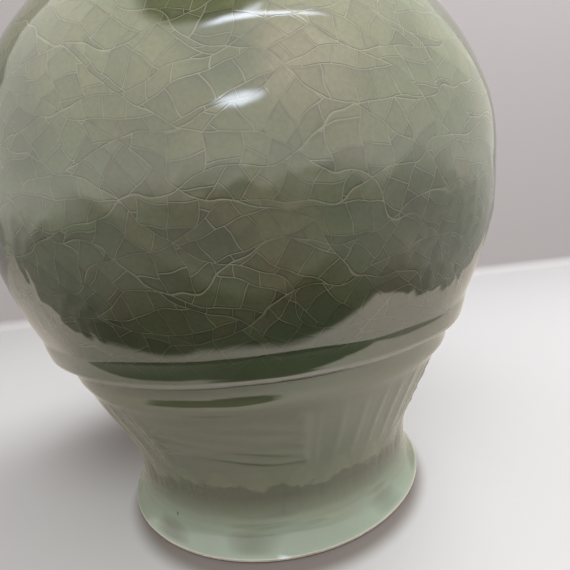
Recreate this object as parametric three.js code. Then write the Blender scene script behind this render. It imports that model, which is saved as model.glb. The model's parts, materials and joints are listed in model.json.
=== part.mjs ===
// Moulded celadon jar: luted stoneware sections, a base dropped in from inside, and a skin of glaze.
// Millimetres, +Z up. The origin is the middle of the foot, on the surface that the jar stands on.
import * as THREE from 'three';

// The glazed outside, from the foot to the mouth
const FOOT_RADIUS = 80;
const RIM_HEIGHT = 2.6;
const RIM_CHAMFER = 1.2;
const FLARE_HEIGHT = 9.5;
const WAIST_RADIUS = 73.6;
const WAIST_HEIGHT = 21;
const SKIRT_TOP_RADIUS = 99.7;
const SKIRT_LEAN = THREE.MathUtils.degToRad(22.6);
const SKIRT_LOW_HANDLE = 19;
const SKIRT_TOP_HANDLE = 36;
const RIB_HEIGHT = 94.5;
const RIB_WIDTH = 12;
const RIB_OVERHANG = 7.5;
const RIB_PITCH = THREE.MathUtils.degToRad(13);
const RIB_EDGE = 2;
const BELLY_RADIUS = 120.4;
const BELLY_HEIGHT = 162.5;
const SHOULDER_RISE = 49;
const SHOULDER_REACH = 32;
const SHOULDER_PITCH = THREE.MathUtils.degToRad(22);
const SHOULDER_TOP_RADIUS = 52;
const NECK_RADIUS = 46;
const NECK_FILLET = 10;
const NECK_HEIGHT = 32;
const HEIGHT = 288;
const LIP_RADIUS = 52;
const LIP_ROLL = 5;
const LIP_DROP = 16;
const LIP_UNDERCUT = THREE.MathUtils.degToRad(-35);
const MOUTH_EDGE = 5;

// Walls, joints and the base
const GLAZE = 1.2;
const WALL = 7;
const GAP = 0.3;
const LAP = 6;
const SLIP = 1.6;
const FOOT_JOINT_HEIGHT = 9;
const SHOULDER_JOINT_RISE = 45;
const NECK_JOINT_CLEARANCE = 1;
const FOOT_BORE_RADIUS = 63;
const LEDGE_RADIUS = 54;
const LEDGE_HEIGHT = 10;
const LEDGE_THICKNESS = 5;
const BASE_THICKNESS = 8;

// Flat sides round the jar
const SEGMENTS = 28;

const point = (radius, height) => new THREE.Vector2(radius, height);
const polar = (centre, radius, angle) =>
  point(centre.x + radius * Math.cos(angle), centre.y + radius * Math.sin(angle));

const SHOULDER_TOP_HEIGHT = HEIGHT - NECK_HEIGHT;

// Depths below the glazed outside
const CLAY_DEPTH = GLAZE + GAP;
const BACK_DEPTH = CLAY_DEPTH + WALL;
const TOTAL_WALL = BACK_DEPTH + GAP + GLAZE;

// The curves of the outside
const footEdge = point(FOOT_RADIUS, RIM_HEIGHT);
const waist = point(WAIST_RADIUS, WAIST_HEIGHT);
const ribLow = point(SKIRT_TOP_RADIUS, RIB_HEIGHT - RIB_WIDTH / 2);
const ribTop = point(SKIRT_TOP_RADIUS + RIB_OVERHANG, RIB_HEIGHT + RIB_WIDTH / 2);
const equator = point(BELLY_RADIUS, BELLY_HEIGHT);
const shoulderTop = point(SHOULDER_TOP_RADIUS, SHOULDER_TOP_HEIGHT);
const neckLow = point(NECK_RADIUS, SHOULDER_TOP_HEIGHT + NECK_FILLET);
const neckTop = point(NECK_RADIUS, HEIGHT - LIP_DROP);

const flare = new THREE.QuadraticBezierCurve(footEdge, point(WAIST_RADIUS, FLARE_HEIGHT), waist);
const skirt = new THREE.CubicBezierCurve(
  waist,
  point(WAIST_RADIUS, WAIST_HEIGHT + SKIRT_LOW_HANDLE),
  point(
    ribLow.x - SKIRT_TOP_HANDLE * Math.sin(SKIRT_LEAN),
    ribLow.y - SKIRT_TOP_HANDLE * Math.cos(SKIRT_LEAN),
  ),
  ribLow,
);
const ribSeat = new THREE.LineCurve(ribLow, ribTop);

// The rib juts out above the skirt, turns a narrow edge and rises upright to the belly
const ribCorner = polar(ribLow, RIB_OVERHANG / Math.cos(RIB_PITCH), RIB_PITCH);
const edgeLow = polar(ribCorner, -RIB_EDGE, RIB_PITCH);
const edgeTop = point(ribTop.x, ribCorner.y + RIB_EDGE);
const ribUnderside = new THREE.LineCurve(ribLow, edgeLow);
const ribEdge = new THREE.QuadraticBezierCurve(edgeLow, ribCorner, edgeTop);
const ribFace = new THREE.LineCurve(edgeTop, ribTop);
const belly = new THREE.QuadraticBezierCurve(
  ribTop,
  point(BELLY_RADIUS, (ribTop.y + BELLY_HEIGHT) / 2),
  equator,
);
const shoulder = new THREE.CubicBezierCurve(
  equator,
  point(BELLY_RADIUS, BELLY_HEIGHT + SHOULDER_RISE),
  polar(shoulderTop, SHOULDER_REACH, -SHOULDER_PITCH),
  shoulderTop,
);
const filletCorner = point(
  NECK_RADIUS,
  SHOULDER_TOP_HEIGHT + (SHOULDER_TOP_RADIUS - NECK_RADIUS) * Math.tan(SHOULDER_PITCH),
);
const neckFillet = new THREE.QuadraticBezierCurve(shoulderTop, filletCorner, neckLow);
const neck = new THREE.LineCurve(neckLow, neckTop);

// The rolled lip, from the neck's outside over the top to the neck's inside
const MOUTH_RADIUS = NECK_RADIUS - TOTAL_WALL;
const rollCentre = point(LIP_RADIUS - LIP_ROLL, HEIGHT - LIP_ROLL);
const edgeCentre = point(MOUTH_RADIUS + MOUTH_EDGE, HEIGHT - MOUTH_EDGE);
const rollStart = polar(rollCentre, LIP_ROLL, LIP_UNDERCUT);
const underLip = new THREE.QuadraticBezierCurve(
  neckTop,
  point(NECK_RADIUS, rollStart.y - (rollStart.x - NECK_RADIUS) * Math.tan(-LIP_UNDERCUT)),
  rollStart,
);
const roll = new THREE.EllipseCurve(
  rollCentre.x, rollCentre.y, LIP_ROLL, LIP_ROLL, LIP_UNDERCUT, Math.PI / 2,
);
const land = new THREE.LineCurve(point(rollCentre.x, HEIGHT), point(edgeCentre.x, HEIGHT));
const mouthEdge = new THREE.EllipseCurve(
  edgeCentre.x, edgeCentre.y, MOUTH_EDGE, MOUTH_EDGE, Math.PI / 2, Math.PI,
);
const mouth = new THREE.LineCurve(
  point(MOUTH_RADIUS, edgeCentre.y),
  point(MOUTH_RADIUS, neckTop.y),
);

// Stations along a run of curves, each with the direction of travel there
function stations(run) {
  const rows = [];
  for (const [curve, steps] of run) {
    for (let i = 0; i <= steps; i += 1) {
      const place = curve.getPointAt(i / steps);
      const travel = curve.getTangentAt(i / steps);
      if (i === 0 && rows.length > 0) {
        rows.at(-1).travel.add(travel).normalize();
      } else {
        rows.push({ place, travel });
      }
    }
  }
  return rows;
}

// The run moved into the wall by a depth
function inset(rows, depth) {
  return rows.map(({ place, travel }) => point(
    place.x - travel.y * depth,
    place.y + travel.x * depth,
  ));
}

// The radius of a rising layer at a height
function radiusAt(layer, height) {
  const above = layer.findIndex((p) => p.y > height);
  const i = above < 0 ? layer.length - 1 : Math.max(above, 1);
  const [a, b] = [layer[i - 1], layer[i]];
  return a.x + (b.x - a.x) * (height - a.y) / (b.y - a.y);
}

// The part of a rising layer between two heights
function stretch(layer, low, high) {
  const inside = layer.filter((p) => p.y > low + GAP && p.y < high - GAP);
  return [point(radiusAt(layer, low), low), ...inside, point(radiusAt(layer, high), high)];
}

const lowerRun = [[flare, 3], [skirt, 4]];
const upperRun = [[belly, 4], [shoulder, 6], [neckFillet, 2], [neck, 1]];
const ribRun = [[ribUnderside, 3], [ribEdge, 3], [ribFace, 4]];
const ribRows = stations(ribRun);
const plainRows = stations([...lowerRun, [ribSeat, 1], ...upperRun]);
const ribbedRows = stations([...lowerRun, ...ribRun, ...upperRun]);
const lipRows = stations([[underLip, 2], [roll, 4], [land, 1], [mouthEdge, 2], [mouth, 1]]);

const clayOutside = inset(plainRows, CLAY_DEPTH);
const clayInside = inset(plainRows, BACK_DEPTH);

// A lapped joint at a height: the lower section's tongue stands inside the upper section's socket,
// and a ring of slip fills the outer half
function lapJoint(height) {
  const level = height + LAP / 2;
  const middle = (radiusAt(clayOutside, level) + radiusAt(clayInside, level)) / 2;
  return {
    seat: height,
    tongue: middle - GAP / 2,
    tongueTop: height + LAP,
    socket: middle + GAP / 2,
    socketTop: height + LAP + GAP,
    slipLow: height + GAP,
    slipTop: height + GAP + SLIP,
    upperFoot: height + SLIP + 2 * GAP,
  };
}

const footJoint = lapJoint(FOOT_JOINT_HEIGHT);
const waistJoint = lapJoint(RIB_HEIGHT);
const bellyJoint = lapJoint(BELLY_HEIGHT);
const shoulderJoint = lapJoint(BELLY_HEIGHT + SHOULDER_JOINT_RISE);
const neckJoint = lapJoint(neckTop.y - LAP - GAP - NECK_JOINT_CLEARANCE);

const socketFace = (joint) => [point(joint.socket, joint.socketTop), point(joint.socket, joint.upperFoot)];
const tongueFace = (joint) => [point(joint.tongue, joint.seat), point(joint.tongue, joint.tongueTop)];

function wallSection(low, high) {
  return [
    ...socketFace(low),
    ...stretch(clayOutside, low.upperFoot, high.seat),
    ...tongueFace(high),
    ...stretch(clayInside, low.socketTop, high.tongueTop).reverse(),
  ];
}

function slipRing(joint) {
  return [
    point(joint.socket, joint.slipLow),
    ...stretch(clayOutside, joint.slipLow, joint.slipTop),
    point(joint.socket, joint.slipTop),
  ];
}

// The bare ring underneath, with the ledge that carries the base
function footRing() {
  const rimTop = RIM_HEIGHT - GAP;
  const ledgeFoot = LEDGE_HEIGHT - LEDGE_THICKNESS;
  return [
    point(FOOT_BORE_RADIUS, 0),
    point(FOOT_RADIUS - RIM_CHAMFER, 0),
    point(FOOT_RADIUS, RIM_CHAMFER),
    point(FOOT_RADIUS, rimTop),
    ...stretch(clayOutside, rimTop, footJoint.seat),
    ...tongueFace(footJoint),
    ...stretch(clayInside, LEDGE_HEIGHT, footJoint.tongueTop).reverse(),
    point(LEDGE_RADIUS, LEDGE_HEIGHT),
    point(LEDGE_RADIUS, ledgeFoot),
    point(FOOT_BORE_RADIUS, ledgeFoot),
  ];
}

// The band that overhangs the skirt, seated over the waist joint
function waistRib() {
  const front = inset(ribRows, CLAY_DEPTH).slice(1, -1);
  const seatRows = stations([[ribSeat, ribRows.length - 1]]);
  const back = inset(seatRows, GLAZE).slice(1, -1);
  return [...front, back.at(-1), back[0]];
}

function neckCollar() {
  return [
    ...socketFace(neckJoint),
    ...stretch(clayOutside, neckJoint.upperFoot, neckTop.y),
    ...inset(lipRows, CLAY_DEPTH).slice(1, -1),
    ...stretch(clayInside, neckJoint.socketTop, neckTop.y).reverse(),
  ];
}

// The disc that lies on the ledge, bedded on a ring of slip
const baseLow = LEDGE_HEIGHT + SLIP + 2 * GAP;
const baseTop = baseLow + BASE_THICKNESS;
const baseRadius = Math.min(...stretch(clayInside, baseLow, baseTop).map((p) => p.x)) - GAP;
const slipBedRadius = Math.min(radiusAt(clayInside, LEDGE_HEIGHT) - GAP, baseRadius);

function baseDisc() {
  return [point(0, baseLow), point(baseRadius, baseLow), point(baseRadius, baseTop), point(0, baseTop)];
}

function baseSlip() {
  const low = LEDGE_HEIGHT + GAP;
  return [
    point(LEDGE_RADIUS, low),
    point(slipBedRadius, low),
    point(slipBedRadius, low + SLIP),
    point(LEDGE_RADIUS, low + SLIP),
  ];
}

// The glaze runs from the bare rim up the outside, over the lip and down inside across the base
function glazeSkin() {
  const floorLow = baseTop + GAP;
  const floorTop = floorLow + GLAZE;
  const outside = stretch(inset(ribbedRows, 0), RIM_HEIGHT, neckTop.y);
  const outsideBack = stretch(inset(ribbedRows, GLAZE), RIM_HEIGHT, neckTop.y);
  const inside = stretch(inset(plainRows, TOTAL_WALL), floorTop, neckTop.y);
  const insideBack = stretch(inset(plainRows, BACK_DEPTH + GAP), floorLow, neckTop.y);
  return [
    point(0, floorLow),
    ...insideBack,
    ...inset(lipRows, GLAZE).slice(1, -1).reverse(),
    ...outsideBack.reverse(),
    ...outside,
    ...inset(lipRows, 0).slice(1, -1),
    ...inside.reverse(),
    point(0, floorTop),
  ];
}

const stoneware = new THREE.MeshStandardMaterial({ color: 0xc9bfae, roughness: 0.85, metalness: 0 });
const slip = new THREE.MeshStandardMaterial({ color: 0xb8ad9a, roughness: 0.9, metalness: 0 });
const celadon = new THREE.MeshStandardMaterial({ color: 0x8d957b, roughness: 0.12, metalness: 0 });

const jar = new THREE.Group();

// Turns a profile about Z; a profile that leaves the axis closes on its first point
function turn(name, profile, material) {
  const onAxis = profile[0].x === 0;
  const outline = onAxis ? profile : [...profile, profile[0].clone()];
  const geometry = new THREE.LatheGeometry(outline, SEGMENTS).rotateX(Math.PI / 2);
  const mesh = new THREE.Mesh(geometry, material);
  mesh.name = name;
  jar.add(mesh);
}

turn('foot_ring', footRing(), stoneware);
turn('foot_lute', slipRing(footJoint), slip);
turn('base_lute', baseSlip(), slip);
turn('base_disc', baseDisc(), stoneware);
turn('foot_skirt', wallSection(footJoint, waistJoint), stoneware);
turn('waist_lute', slipRing(waistJoint), slip);
turn('waist_rib', waistRib(), stoneware);
turn('lower_belly', wallSection(waistJoint, bellyJoint), stoneware);
turn('belly_lute', slipRing(bellyJoint), slip);
turn('upper_belly', wallSection(bellyJoint, shoulderJoint), stoneware);
turn('shoulder_lute', slipRing(shoulderJoint), slip);
turn('shoulder_dome', wallSection(shoulderJoint, neckJoint), stoneware);
turn('neck_lute', slipRing(neckJoint), slip);
turn('neck_collar', neckCollar(), stoneware);
turn('celadon_glaze', glazeSkin(), celadon);

export default jar;
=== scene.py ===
import json
import math

import bpy
import numpy as np
from bpy.props import FloatProperty, FloatVectorProperty, IntProperty, PointerProperty
from mathutils import Matrix, Vector


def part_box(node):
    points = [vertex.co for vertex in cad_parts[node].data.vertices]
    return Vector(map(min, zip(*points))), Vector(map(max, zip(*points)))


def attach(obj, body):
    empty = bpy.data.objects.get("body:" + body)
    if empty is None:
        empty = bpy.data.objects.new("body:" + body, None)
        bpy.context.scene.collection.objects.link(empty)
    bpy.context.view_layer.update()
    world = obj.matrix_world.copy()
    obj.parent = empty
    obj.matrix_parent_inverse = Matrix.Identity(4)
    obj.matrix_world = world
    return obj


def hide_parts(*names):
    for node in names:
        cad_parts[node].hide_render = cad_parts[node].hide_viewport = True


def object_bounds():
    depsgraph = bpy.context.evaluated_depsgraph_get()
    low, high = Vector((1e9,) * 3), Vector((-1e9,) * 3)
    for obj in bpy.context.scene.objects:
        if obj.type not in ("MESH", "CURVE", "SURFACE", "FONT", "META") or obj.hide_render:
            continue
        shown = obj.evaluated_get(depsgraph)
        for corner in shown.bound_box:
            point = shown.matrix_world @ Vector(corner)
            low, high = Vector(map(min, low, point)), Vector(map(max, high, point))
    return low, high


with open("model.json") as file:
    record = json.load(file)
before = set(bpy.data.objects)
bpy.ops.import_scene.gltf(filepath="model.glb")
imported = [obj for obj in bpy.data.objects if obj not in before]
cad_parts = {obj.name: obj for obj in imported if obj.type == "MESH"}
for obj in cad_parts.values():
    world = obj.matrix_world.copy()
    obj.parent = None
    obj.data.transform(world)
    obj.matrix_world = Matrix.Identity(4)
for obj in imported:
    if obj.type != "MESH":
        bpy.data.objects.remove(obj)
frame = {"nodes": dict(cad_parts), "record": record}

bl_info = {
    "name": "Moulded celadon jar",
    "version": (1, 0, 0),
    "blender": (4, 5, 0),
    "location": "View3D > Sidebar > Jar",
    "description": "Dresses the luted stoneware sections of a jar in a crackled celadon glaze",
    "category": "Object",
}

CAD_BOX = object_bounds()
FOOT_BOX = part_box("foot_ring")
GLAZE_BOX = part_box("celadon_glaze")
MM = 0.001

# The lathe: columns round a piece with relief and round a plain one, and what is welded and smoothed
RELIEF_COLUMNS = 560
PLAIN_COLUMNS = 240
WELD = 0.00001
SMOOTH_ANGLE = math.radians(40)
# How far from the ends of its outline a piece's relief fades out
RELIEF_FADE = 0.003


def linear(hex_colour):
    """Turns an sRGB hex colour into the linear values that shaders and lamps take."""
    channels = [int(hex_colour[i:i + 2], 16) / 255 for i in (0, 2, 4)]
    return tuple(c / 12.92 if c <= 0.04045 else ((c + 0.055) / 1.055) ** 2.4 for c in channels)


def length(name, description, default):
    """A size in metres."""
    return FloatProperty(name=name, description=description, default=default, unit="LENGTH", precision=4)


def angle(name, description, degrees):
    """An angle, written in degrees."""
    return FloatProperty(name=name, description=description, default=math.radians(degrees), subtype="ANGLE")


def count(name, description, default):
    """How many there are of something round the jar."""
    return IntProperty(name=name, description=description, default=default)


def colour(name, description, hex_colour):
    """A colour, written as sRGB hex."""
    return FloatVectorProperty(
        name=name, description=description, default=linear(hex_colour), subtype="COLOR", min=0, max=1
    )


class JarShape(bpy.types.PropertyGroup):
    """The outline of the glazed outside, and the relief on it"""
    foot_radius: length("Foot radius", "Outer radius of the foot's bare rim", FOOT_BOX[1].y)
    rim_height: length("Rim height", "Where the glaze starts above the bare rim", 0.0016)
    rim_chamfer: length("Rim chamfer", "Bevel under the bare rim", 0.0008)
    flare_height: length("Flare height", "Height at which the foot's flare would meet the waist", 0.0095)
    waist_radius: length("Waist radius", "Narrowest radius, above the flare", 0.0736)
    waist_height: length("Waist height", "Height of the narrowest line", 0.021)
    skirt_top_radius: length("Skirt top radius", "Radius where the skirt meets the rib", 0.0997)
    skirt_lean: angle("Skirt lean", "Lean of the skirt's side under the rib", 22.6)
    skirt_low_handle: length("Skirt low handle", "Pull of the skirt's curve at the waist", 0.019)
    skirt_top_handle: length("Skirt top handle", "Pull of the skirt's curve at the rib", 0.036)
    rib_height: length("Rib height", "Height of the rib's middle", 0.0945)
    rib_width: length("Rib width", "Height of the rib from edge to edge", 0.012)
    rib_overhang: length("Rib overhang", "How far the rib juts out over the skirt", 0.0075)
    rib_pitch: angle("Rib pitch", "Rise of the rib's underside", 13)
    rib_edge: length("Rib edge", "Rounding of the rib's lower edge", 0.0034)
    rib_lean: length("Rib lean", "How far the rib's face leans out from its lower edge to its top", 0.0024)
    rib_bulge: length("Rib bulge", "How far the rib's face swells", 0.0002)
    belly_radius: length("Belly radius", "Widest radius", GLAZE_BOX[1].y)
    belly_height: length("Belly height", "Height of the widest line", 0.1625)
    shoulder_rise: length("Shoulder rise", "Pull of the shoulder's curve at the widest line", 0.049)
    shoulder_reach: length("Shoulder reach", "Pull of the shoulder's curve at the neck", 0.032)
    shoulder_pitch: angle("Shoulder pitch", "Slope of the shoulder at the neck", 22)
    shoulder_top_radius: length("Shoulder top radius", "Radius where the neck's fillet starts", 0.052)
    neck_radius: length("Neck radius", "Outer radius of the neck", 0.046)
    neck_fillet: length("Neck fillet", "Height of the fillet between shoulder and neck", 0.010)
    neck_height: length("Neck height", "From the top of the shoulder to the mouth", 0.032)
    lip_radius: length("Lip radius", "Outer radius of the rolled lip", 0.052)
    lip_roll: length("Lip roll", "Radius of the lip's roll", 0.005)
    lip_drop: length("Lip drop", "From the mouth down to the top of the plain neck", 0.016)
    lip_undercut: angle("Lip undercut", "How far the roll turns under", 35)
    mouth_edge: length("Mouth edge", "Radius of the mouth's inner edge", 0.005)
    wall: length("Wall", "From the outside to the inside, with both skins of glaze", 0.010)
    glaze: length("Glaze", "Thickness of the glaze", 0.0012)
    glaze_gap: length("Glaze gap", "Clearance between the glaze and what it covers", 0.0003)
    hearth_corner: length("Hearth corner", "Rounding inside, between the base and the side", 0.008)
    foot_bore: length("Foot bore", "Inner radius of the bare ring", 0.063)
    ledge_depth: length("Ledge depth", "Thickness of the ledge inside the bare ring", 0.005)
    panels: count("Panels", "Panels round the skirt, swagged and fluted in turn", 8)
    panel_turn: angle("Panel turn", "Turn of the panels to the right of the front", 8)
    folds: count("Folds", "Hanging folds in a swagged panel", 5)
    flutes: count("Flutes", "Upright ridges in a fluted panel", 7)
    leaves: count("Leaves", "Upright leaves round the foot", 28)
    skirt_line: length("Skirt line", "Height of the skirt's moulded ornament", 0.0005)
    skirt_ring: length("Skirt ring", "Height of the bead under the rib", 0.00116)
    foot_line: length("Foot line", "Height of the two fine lines round the flare", 0.00014)
    scrolls: count("Scrolls", "Waves of the foliate scroll round the belly", 5)
    scroll_line: length("Scroll line", "Height of the scroll's stems and petals", 0.00018)
    undulation: length("Undulation", "Unevenness of the fired wall", 0.00016)


class JarFinish(bpy.types.PropertyGroup):
    """The colours of the glaze, the clay and the slip"""
    olive: colour("Olive", "The glaze over most of the jar", "848764")
    sea: colour("Sea green", "The glaze where it leans to blue", "768862")
    jade: colour("Jade", "The glaze where it pooled at the foot", "A6BAA6")
    buff: colour("Buff", "Flakes of the glaze that fired warmer", "968967")
    pale: colour("Pale buff", "A broad patch of the glaze on the shoulder that fired pale", "A49C80")
    thin: colour("Thin glaze", "The glaze where it runs thin on a ridge", "9FA17F")
    pool: colour("Pooled glaze", "The glaze where it pools in a hollow", "626A4A")
    # A painted reflection: the dark band in the waist stands for the shaded table mirrored in the glaze
    painted_waist_reflection: colour("Painted waist reflection", "A dark band round the waist: painted reflection of the shade by the foot", "38451A")
    crack: colour("Crack", "The pale edge of a crack in the glaze", "D2CDAF")
    stain: colour("Stain", "Cracks that took a brown stain", "7A5F42")
    speck: colour("Speck", "Iron specks under the glaze", "4A3B2A")
    flake: length("Flake", "Spacing of the first cut across a field between long cracks", 0.0088)
    fine_flake: length("Fine flake", "Spacing of the second cut", 0.0074)
    crack_width: length("Crack width", "Half the width of a crack's pale hair", 0.00021)
    clay: colour("Bare clay", "Unglazed stoneware", "EAE2D6")
    clay_warm: colour("Toasted clay", "Stoneware that fired warmer", "C2A888")
    clay_slip: colour("Slip", "Fired slip in the joints", "B8AD9A")


class JarStage(bpy.types.PropertyGroup):
    """The floor, the backdrop, the light and the camera"""
    floor: colour("Floor", "The pale table", "E4E2E6")
    floor_mirrored: colour("Mirrored floor", "The table as the glaze mirrors it, in warmer light", "E6DDD4")
    backdrop: colour("Backdrop", "The wall behind the table", "EAE3E7")
    # Colour of the shade painted on the table round the foot
    shade: colour("Shade", "The table in the shade of the belly, round the foot", "6E5C54")
    room: colour("Room", "The light of the room", "FFFDF6")
    pane: colour("Pane", "The colder light of the bright panes", "EAF1FF")
    floor_size: length("Floor size", "Width of the floor, and twice its reach to the front", 4.0)
    wall_distance: length("Wall distance", "From the jar's axis to the backdrop", 0.44)
    wall_height: length("Wall height", "Height of the backdrop", 0.9)
    wall_bevel: length("Wall bevel", "Rounding between the floor and the backdrop", 0.015)
    camera_distance: length("Camera distance", "From the jar's axis to the lens, level", 0.24304)
    camera_height: length("Camera height", "From the floor to the lens", 0.14904)
    camera_yaw: angle("Camera yaw", "Turn to the right of the jar's axis", 3.58)
    camera_pitch: angle("Camera pitch", "Tilt down", 10.76)
    camera_roll: angle("Camera roll", "Turn about the line of sight", -5.89)
    lens: FloatProperty(name="Lens", description="Focal length on a 36 mm frame, in mm", default=28.105)


def cubic(start, leave, arrive, end):
    """A Bezier stroke in the (radius, height) plane, as four points."""
    return np.array([start, leave, arrive, end], float)


def straight(start, end):
    """A straight stroke."""
    start, end = np.array(start), np.array(end)
    return cubic(start, start + (end - start) / 3, end - (end - start) / 3, end)


def quadratic(start, corner, end):
    """A stroke that rounds off a corner."""
    start, corner, end = np.array(start), np.array(corner), np.array(end)
    return cubic(start, start + (corner - start) * 2 / 3, end + (corner - end) * 2 / 3, end)


def arc(centre, radius, first, last):
    """A round stroke of a quarter turn or less."""
    pull = 4 / 3 * math.tan((last - first) / 4) * radius
    start, end = (np.array(centre) + radius * np.array([math.cos(a), math.sin(a)]) for a in (first, last))
    leave = start + pull * np.array([-math.sin(first), math.cos(first)])
    arrive = end - pull * np.array([-math.sin(last), math.cos(last)])
    return cubic(start, leave, arrive, end)


def outward(travel):
    """The unit normal to the right of a direction of travel, which is outwards on a rising outline."""
    travel = travel / np.linalg.norm(travel, axis=-1, keepdims=True)
    return np.stack([travel[..., 1], -travel[..., 0]], axis=-1)


def inset(strokes, depth):
    """A run of strokes moved into the wall by a depth."""
    leaving = [outward(s[1] - s[0]) for s in strokes]
    arriving = [outward(s[3] - s[2]) for s in strokes]
    joints = [leaving[0]]
    for before, after in zip(arriving[:-1], leaving[1:]):
        joints.append((before + after) / np.linalg.norm(before + after))
    joints.append(arriving[-1])
    moved = []
    for stroke, low, high in zip(strokes, joints[:-1], joints[1:]):
        start, end = stroke[0] - depth * low, stroke[3] - depth * high
        shrink = np.linalg.norm(end - start) / np.linalg.norm(stroke[3] - stroke[0])
        leave = start + (stroke[1] - stroke[0]) * shrink
        arrive = end + (stroke[2] - stroke[3]) * shrink
        moved.append(cubic(start, leave, arrive, end))
    return moved


def backwards(strokes):
    """The same run of strokes, travelled the other way."""
    return [stroke[::-1].copy() for stroke in reversed(strokes)]


def outline(shape):
    """The strokes of the glazed outside, from the foot to the mouth, by name."""
    height = CAD_BOX[1].z
    shoulder_z = height - shape.neck_height
    foot_edge = np.array([shape.foot_radius, shape.rim_height])
    waist = np.array([shape.waist_radius, shape.waist_height])
    rib_low = np.array([shape.skirt_top_radius, shape.rib_height - shape.rib_width / 2])
    rib_top = np.array([shape.skirt_top_radius + shape.rib_overhang, shape.rib_height + shape.rib_width / 2])
    equator = np.array([shape.belly_radius, shape.belly_height])
    shoulder_top = np.array([shape.shoulder_top_radius, shoulder_z])
    neck_low = np.array([shape.neck_radius, shoulder_z + shape.neck_fillet])
    neck_top = np.array([shape.neck_radius, height - shape.lip_drop])
    up = np.array([0.0, 1.0])
    lean = np.array([math.sin(shape.skirt_lean), math.cos(shape.skirt_lean)])
    slope = np.array([math.cos(shape.shoulder_pitch), -math.sin(shape.shoulder_pitch)])
    jut = np.array([math.cos(shape.rib_pitch), math.sin(shape.rib_pitch)])
    rib_corner = rib_low + jut * (shape.rib_overhang - shape.rib_lean) / math.cos(shape.rib_pitch)
    face = (rib_top - rib_corner) / np.linalg.norm(rib_top - rib_corner)
    edge_low, edge_top = rib_corner - jut * shape.rib_edge, rib_corner + face * shape.rib_edge
    rib_swell = (edge_top + rib_top) / 2 + np.array([2 * shape.rib_bulge, 0.0])
    fillet_drop = (shape.shoulder_top_radius - shape.neck_radius) * math.tan(shape.shoulder_pitch)
    mouth_radius = shape.neck_radius - shape.wall
    roll_centre = np.array([shape.lip_radius - shape.lip_roll, height - shape.lip_roll])
    edge_centre = np.array([mouth_radius + shape.mouth_edge, height - shape.mouth_edge])
    under = -shape.lip_undercut
    roll_start = roll_centre + shape.lip_roll * np.array([math.cos(under), math.sin(under)])
    under_corner = roll_start[1] - (roll_start[0] - shape.neck_radius) * math.tan(shape.lip_undercut)
    quarter = math.pi / 2
    return {
        "flare": quadratic(foot_edge, (shape.waist_radius, shape.flare_height), waist),
        "skirt": cubic(
            waist, waist + up * shape.skirt_low_handle, rib_low - lean * shape.skirt_top_handle, rib_low
        ),
        "rib_seat": straight(rib_low, rib_top),
        "rib_underside": straight(rib_low, edge_low),
        "rib_edge": quadratic(edge_low, rib_corner, edge_top),
        "rib_face": quadratic(edge_top, rib_swell, rib_top),
        "belly": quadratic(rib_top, (equator[0], (rib_top[1] + equator[1]) / 2), equator),
        "shoulder": cubic(
            equator,
            equator + up * shape.shoulder_rise,
            shoulder_top + slope * shape.shoulder_reach,
            shoulder_top,
        ),
        "fillet": quadratic(shoulder_top, (shape.neck_radius, shoulder_z + fillet_drop), neck_low),
        "neck": straight(neck_low, neck_top),
        "under_lip": quadratic(neck_top, (shape.neck_radius, under_corner), roll_start),
        "roll_low": arc(roll_centre, shape.lip_roll, under, (quarter + under) / 2),
        "roll_top": arc(roll_centre, shape.lip_roll, (quarter + under) / 2, quarter),
        "land": straight((roll_centre[0], height), (edge_centre[0], height)),
        "mouth_edge": arc(edge_centre, shape.mouth_edge, quarter, 2 * quarter),
        "mouth": straight((mouth_radius, edge_centre[1]), (mouth_radius, neck_top[1])),
    }


def deselect():
    """Leaves nothing selected."""
    bpy.ops.object.select_all(action="DESELECT")


def draw_stroke(stroke, steps):
    """Draws one Bezier stroke in the plane y = 0."""
    bpy.ops.curve.primitive_bezier_curve_add(location=(0, 0, 0))
    curve = bpy.context.object
    first, last = curve.data.splines[0].bezier_points
    start, leave, arrive, end = (Vector((r, 0, z)) for r, z in stroke)
    for knot in (first, last):
        knot.handle_left_type = "FREE"
        knot.handle_right_type = "FREE"
    first.co, first.handle_left, first.handle_right = start, start, leave
    last.co, last.handle_left, last.handle_right = end, arrive, end
    curve.data.resolution_u = steps
    return curve


def turn(name, drawn, columns):
    """Joins drawn strokes into a closed section and spins it into a solid about the jar's axis."""
    deselect()
    curves = [draw_stroke(stroke, steps) for stroke, steps in drawn]
    deselect()
    for curve in curves:
        curve.select_set(True)
    bpy.context.view_layer.objects.active = curves[0]
    bpy.ops.object.convert(target="MESH")
    bpy.ops.object.join()
    piece = bpy.context.object
    piece.name = name
    piece.data.name = name
    bpy.ops.object.mode_set(mode="EDIT")
    bpy.ops.mesh.select_all(action="SELECT")
    bpy.ops.mesh.remove_doubles(threshold=WELD)
    bpy.ops.object.mode_set(mode="OBJECT")
    lathe = piece.modifiers.new("lathe", "SCREW")
    lathe.steps = columns
    lathe.render_steps = columns
    lathe.use_merge_vertices = True
    lathe.merge_threshold = WELD
    bpy.ops.object.modifier_apply(modifier=lathe.name)
    bpy.ops.object.mode_set(mode="EDIT")
    bpy.ops.mesh.select_all(action="SELECT")
    bpy.ops.mesh.remove_doubles(threshold=WELD)
    bpy.ops.mesh.normals_make_consistent(inside=False)
    bpy.ops.object.mode_set(mode="OBJECT")
    bpy.ops.object.shade_smooth_by_angle(angle=SMOOTH_ANGLE)
    return piece


def closed_skin(outside, back):
    """Strokes and steps of a skin: its outside, its back and the two ends that close it."""
    first, last = outside[0][0], outside[-1][0]
    back_first, back_last = back[0][0], back[-1][0]
    ends = [(straight(last[3], back_last[3]), 1), (straight(back_first[0], first[0]), 1)]
    return [*outside, *back, *[e for e in ends if np.linalg.norm(e[0][3] - e[0][0]) > WELD]]


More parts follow.
